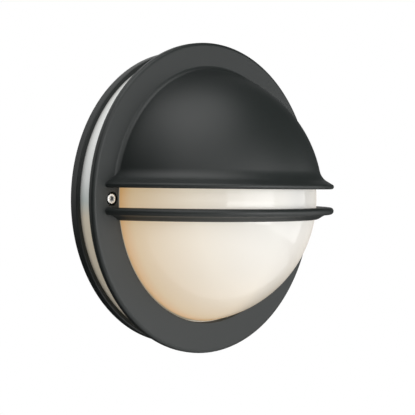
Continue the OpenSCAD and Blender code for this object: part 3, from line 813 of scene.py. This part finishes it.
class LIGHT_OT_base(bpy.types.Operator):
    """Models the base with its rim, gasket groove, ribs and posts"""

    bl_idname = "wall_light.base"
    bl_label = "Wall Base"

    def execute(self, context):
        sizes = context.scene.light_sizes
        lip_in = sizes.skirt_radius - sizes.diffuser_wall - GROOVE_PLAY - LIP_WALL
        base = spin("base_casting", about_light(self.pan(sizes, lip_in)), closed=False)
        combine(base, join("ribs", self.ribs(lip_in)), "UNION")
        combine(base, join("posts", self.posts(sizes)), "UNION")
        combine(base, join("bores", self.bores(sizes)), "DIFFERENCE")
        base.name = base.data.name = "base_casting"
        finish_piece(base, bpy.data.materials["powder_coat"], "wall_base")
        return {"FINISHED"}

    def pan(self, sizes, lip_in):
        """Section of the base: floor with its centre ring, lip, groove, rim and hollow back"""
        outer, height, edge = sizes.base_radius, sizes.base_height, 1.2 * MM
        fillet, chamfer, back_chamfer, level = 1 * MM, 0.3 * MM, 0.4 * MM, 0.2 * MM
        groove = back_of("base_gasket")
        groove_in, groove_out = lip_in + LIP_WALL, sizes.skirt_radius + GROOVE_PLAY
        foot_in = lip_in - 2.6 * MM
        ring_in, ring_out = RIB_START - 1 * MM, RIB_START + 1 * MM
        ring_top = FLOOR_TOP + RIB_HEIGHT
        section = [(0.0, FLOOR_TOP), (ring_in, FLOOR_TOP), (ring_in, ring_top)]
        section += [(ring_out, ring_top), (ring_out, FLOOR_TOP)]
        section += [(lip_in - fillet, FLOOR_TOP), (lip_in, FLOOR_TOP + fillet), (lip_in, height)]
        section += [(groove_in, height), (groove_in, groove), (groove_out, groove)]
        section += [(groove_out, height - chamfer), (groove_out + chamfer, height)]
        section += [(outer - edge - level, height)]
        section += arc(outer - edge, height - edge, edge, 90, 0, 6)
        section += [(outer, back_chamfer), (outer - back_chamfer, 0.0), (foot_in, 0.0)]
        return section + [(foot_in, RELIEF), (0.0, RELIEF)]

    def ribs(self, lip_in):
        """Ribs from the centre ring to the inner lip"""
        end, depth, wall = lip_in + 0.6 * MM, 2.9 * MM, 2 * MM
        size = (end - RIB_START, depth, wall)
        middle = ((RIB_START + end) / 2, -(FLOOR_TOP + RIB_HEIGHT - depth / 2), 0.0)
        return [block("rib", size, middle, math.radians(turn)) for turn in range(0, 360, 60)]

    def posts(self, sizes):
        """Posts and bosses that the other pieces stand on"""
        post_r, boss_r, foot_r, entry_r = 5 * MM, 4.6 * MM, 7.5 * MM, 14.5 * MM
        low = FLOOR_TOP - 0.6 * MM
        under_sheet = front_of("reflector") - 0.8 * MM
        seal, fixing, washer = (
            back_of(node) for node in ("screw_seals", "fixing_seals", "earth_washer")
        )
        posts = [rod("post", post_r, low, seal, place, 64) for place in screw_places(sizes)]
        for screws in ("bracket_screws", "reflector_screws"):
            posts += [rod("boss", boss_r, low, under_sheet, place) for place in pair_of(screws)]
        posts += [rod("foot", foot_r, 0.0, fixing, place, 56) for place in self.fixing_places()]
        posts.append(rod("earth", post_r, low, washer, middle_of("earth_washer")))
        posts.append(rod("entry", entry_r, 0.0, low, middle_of("cable_grommet"), 96))
        return posts + [self.terminal_pad(low)]

    def terminal_pad(self, low):
        """The pad under the terminal block"""
        block_low, block_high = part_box("terminal_block")
        top, margin, depth = back_of("terminal_block"), 0.3 * MM, 8 * MM
        size = (block_high.x - block_low.x + 2 * margin, top - low, depth)
        return block("pad", size, (0.0, -(top + low) / 2, (block_low.z + block_high.z) / 2))

    def bores(self, sizes):
        """Forms that cut the tapped holes, the fixing holes and the cable entry"""
        spare, high = 0.5 * MM, 30 * MM
        cover_r, small_r, terminal_r, fixing_r = 2.55 * MM, 2.05 * MM, 1.55 * MM, 3 * MM
        low = back_of("cover_screws") - spare
        bores = [rod("bore", cover_r, low, high, place) for place in screw_places(sizes)]
        for screws in ("bracket_screws", "reflector_screws"):
            low = back_of(screws) - spare
            bores += [rod("bore", small_r, low, high, place) for place in pair_of(screws)]
        for screw, radius in (("earth_screw", small_r), ("terminal_screw", terminal_r)):
            bores.append(rod("bore", radius, back_of(screw) - spare, high, middle_of(screw)))
        bores += [rod("hole", fixing_r, -BEYOND, high, place) for place in self.fixing_places()]
        flange_r, entry_r, entry_top = 13 * MM, 11 * MM, 9 * MM
        entry = [(0.0, -BEYOND), (flange_r, -BEYOND), (flange_r, RELIEF)]
        entry += [(entry_r, RELIEF), (entry_r, entry_top), (0.0, entry_top)]
        return bores + [turned("entry", entry, middle_of("cable_grommet"), 96)]

    def fixing_places(self):
        """The wall screws' places, from the record's circle of holes"""
        mounts = frame["record"]["mounts"]
        circle = next(mount for mount in mounts if mount["name"] == "wall_fixings")
        radius = circle["dims"]["pcd_mm"] / 2 * MM
        turns = [math.radians(turn) for turn in (90, 210, 330)]
        return [(radius * math.cos(turn), radius * math.sin(turn)) for turn in turns]


class LIGHT_OT_screws(bpy.types.Operator):
    """Models the two hexagon-socket cover screws"""

    bl_idname = "wall_light.screws"
    bl_label = "Cover Screws"

    def execute(self, context):
        sizes = context.scene.light_sizes
        screws = [self.screw(sizes.screw_head, place) for place in screw_places(sizes)]
        pair = join("cover_screw_pair", screws)
        material = turned_steel("stainless_steel", context.scene.light_colours.stainless)
        finish_piece(pair, material, "cover_screws", smooth_below=25)
        return {"FINISHED"}

    def screw(self, head_r, place):
        """One screw, with its hexagon socket and the socket's conical mouth"""
        top, end = front_of("cover_screws"), back_of("cover_screws")
        seat = top - HEAD_HEIGHT
        shank_r, point = 2.5 * MM, 0.6 * MM
        rounding, edge, level = 0.5 * MM, 0.2 * MM, 0.05 * MM
        section = [(0.0, top), (head_r - rounding - level, top)]
        section += arc(head_r - rounding, top - rounding, rounding, 90, 0, 6)
        section += [(head_r, seat + edge), (head_r - edge, seat), (shank_r, seat)]
        section += [(shank_r, end + point), (shank_r - point, end), (0.0, end)]
        screw = turned("screw", section, place)

        across_flats, depth = 4 * MM, 2.3 * MM
        corner_r = across_flats / math.sqrt(3)
        socket = rod("socket", corner_r, top - depth, top + 1 * MM, place, 6)
        combine(screw, socket, "DIFFERENCE")

        mouth_low, mouth_high = top - 0.25 * MM, top + 0.25 * MM
        mouth = [(0.0, mouth_low), (corner_r - 0.2 * MM, mouth_low)]
        mouth += [(corner_r + 0.3 * MM, mouth_high), (0.0, mouth_high)]
        combine(screw, turned("mouth", mouth, place), "DIFFERENCE")
        return screw


class LIGHT_OT_inside(bpy.types.Operator):
    """Gives the pieces inside the light their materials"""

    bl_idname = "wall_light.inside"
    bl_label = "Inside"

    def execute(self, context):
        colours = context.scene.light_colours
        zinc = dull_metal("zinc_plate", colours.zinc, 0.25, 0.42)
        brass = dull_metal("plain_brass", colours.brass, 0.22, 0.4)
        glaze = smooth_coat("porcelain_glaze", colours.porcelain, 0.12)
        rubber = smooth_coat("seal_rubber", colours.rubber, 0.62, 900.0)
        enamel = smooth_coat("white_enamel", colours.enamel, 0.25)
        nylon = smooth_coat("white_nylon", colours.enamel, 0.45, 700.0)
        lamp = smooth_coat("lamp_opal", colours.lamp, 0.15)
        finishes = {
            "terminal_clamps": zinc,
            "terminal_screw": zinc,
            "reflector_screws": zinc,
            "holder_bracket": zinc,
            "bracket_screws": zinc,
            "holder_screws": zinc,
            "terminal_sleeves": brass,
            "earth_washer": brass,
            "earth_screw": brass,
            "lampholder_shell": brass,
            "lampholder_contact": brass,
            "lampholder_terminals": brass,
            "lampholder_body": glaze,
            "base_gasket": rubber,
            "screw_seals": rubber,
            "fixing_seals": rubber,
            "cable_grommet": rubber,
            "lead_bush": rubber,
            "reflector": enamel,
            "terminal_block": nylon,
            "lamp_bulb": lamp,
        }
        for name, material in finishes.items():
            frame["nodes"][name].material_slots[0].material = material
        return {"FINISHED"}


class LIGHT_OT_stage(bpy.types.Operator):
    """Sets the floor, the white surround, the soft lamps and the camera"""

    bl_idname = "wall_light.stage"
    bl_label = "Stage"

    def execute(self, context):
        self.floor(context.scene.light_colours.floor)
        self.surround(context.scene)
        for lamp in LAMPS:
            self.panel(*lamp)
        self.camera(context.scene)
        return {"FINISHED"}

    def floor(self, colour):
        """A pale floor from the wall forward, which keeps the object's shadow"""
        let_go()
        place = (0.0, -STAGE_FLOOR / 2, -STAGE_DROP)
        bpy.ops.mesh.primitive_plane_add(size=STAGE_FLOOR, location=place)
        floor = bpy.context.object
        floor.name = "floor"
        mix = Recipe("pale_floor")
        pale = mix.blend(mix.noise(3.0), shade(colour, 0.98), shade(colour, 1.02))
        seen = mix.rays("Is Camera Ray", "Is Glossy Ray", "Is Transmission Ray").between(0.0, 1.0)
        bright = mix.blend(seen, (0.0, 0.0, 0.0), pale)
        material = mix.set(
            Base_Color=pale, Emission_Color=bright, Emission_Strength=0.55, Roughness=0.8
        )
        floor.data.materials.append(material)

    def panel(self, name, across, upward, radiance):
        """A soft lamp that faces the light, between two azimuths and two elevations"""
        azimuth, elevation = math.radians(sum(across) / 2), math.radians(sum(upward) / 2)
        width, height = (
            2 * LAMP_DISTANCE * math.tan(math.radians(high - low) / 2)
            for low, high in (across, upward)
        )
        level = math.cos(elevation)
        away = Vector(
            (math.sin(azimuth) * level, -math.cos(azimuth) * level, math.sin(elevation))
        )
        middle = Vector((0.0, -50 * MM, 0.0))
        let_go()
        bpy.ops.object.light_add(type="AREA", location=middle + away * LAMP_DISTANCE)
        lamp = bpy.context.object
        lamp.name = name
        lamp.data.shape = "RECTANGLE"
        lamp.data.size, lamp.data.size_y = width, height
        lamp.data.energy = radiance * math.pi * width * height
        lamp.rotation_mode = "QUATERNION"
        lamp.rotation_quaternion = away.to_track_quat("Z", "Y")

    def surround(self, scene):
        """White for the camera and in reflections from behind, else a dim room on paler ground"""
        world = bpy.data.worlds.new("soft_room")
        scene.world = world
        world.use_nodes = True
        room = Recipe.of_world(world)
        back, height = room.along(1), room.along(2)
        mirrored = room.rays("Is Glossy Ray", "Is Transmission Ray")
        behind = back.between(0.3, 0.8) * height.between(-0.4, 0.2)
        white = (room.rays("Is Camera Ray") + mirrored * behind).between(0.0, 1.0)
        below = (height * -1.0).between(0.0, 1.0) * (1.0 - back.between(-0.1, 0.5))
        level = ROOM_LEVEL + GROUND_LEVEL * below
        room.set(Color=(1.0, 1.0, 1.0), Strength=level + white * (1.0 - level))

    def camera(self, scene):
        """The photograph's viewpoint, turned to its aim without any shift"""
        place, sizes = scene.camera_place, scene.light_sizes
        azimuth, elevation = place.azimuth, place.elevation
        level = math.cos(elevation)
        back = Vector(
            (math.sin(azimuth) * level, -math.cos(azimuth) * level, math.sin(elevation))
        )
        right = Vector(UPRIGHT_AXIS).cross(back).normalized()
        axes = Matrix((right, back.cross(right), back))
        for turn, axis in ((place.roll, "Z"), (place.tilt, "X"), (place.pan, "Y")):
            axes = Matrix.Rotation(-turn, 3, axis) @ axes
        ring_centre = Vector((0.0, -(sizes.ring_back + sizes.ring_thickness), 0.0))
        stand = Matrix.Translation(ring_centre + back * place.distance)
        let_go()
        bpy.ops.object.camera_add()
        camera = bpy.context.object
        camera.name = "photo_camera"
        camera.matrix_world = stand @ axes.transposed().to_4x4()
        camera.data.lens = place.lens
        camera.data.sensor_width = 36.0
        camera.data.clip_start, camera.data.clip_end = 0.01, 20.0
        scene.camera = camera
        scene.view_settings.view_transform = "Standard"


class LIGHT_PT_panel(bpy.types.Panel):
    """Lists the steps that make the light, and its sizes and colours"""

    bl_idname = "LIGHT_PT_panel"
    bl_label = "Wall Light"
    bl_space_type = "VIEW_3D"
    bl_region_type = "UI"
    bl_category = "Wall Light"

    def draw(self, context):
        for step in STEPS:
            self.layout.operator(step.bl_idname)
        for group in GROUPS:
            values = getattr(context.scene, group)
            box = self.layout.box()
            for name in values.__annotations__:
                box.prop(values, name)


STEPS = (
    LIGHT_OT_cover,
    LIGHT_OT_diffuser,
    LIGHT_OT_base,
    LIGHT_OT_screws,
    LIGHT_OT_inside,
    LIGHT_OT_stage,
)
GROUPS = {"light_sizes": LightSizes, "light_colours": LightColours, "camera_place": CameraPlace}


def register():
    for kind in (*GROUPS.values(), *STEPS, LIGHT_PT_panel):
        bpy.utils.register_class(kind)
    for name, kind in GROUPS.items():
        setattr(bpy.types.Scene, name, bpy.props.PointerProperty(type=kind))


def unregister():
    for name in GROUPS:
        delattr(bpy.types.Scene, name)
    for kind in (LIGHT_PT_panel, *reversed(STEPS), *reversed(GROUPS.values())):
        bpy.utils.unregister_class(kind)


def main():
    register()
    bpy.ops.wall_light.cover()
    bpy.ops.wall_light.diffuser()
    bpy.ops.wall_light.base()
    bpy.ops.wall_light.screws()
    bpy.ops.wall_light.inside()
    bpy.ops.wall_light.stage()


if __name__ == "__main__":
    main()
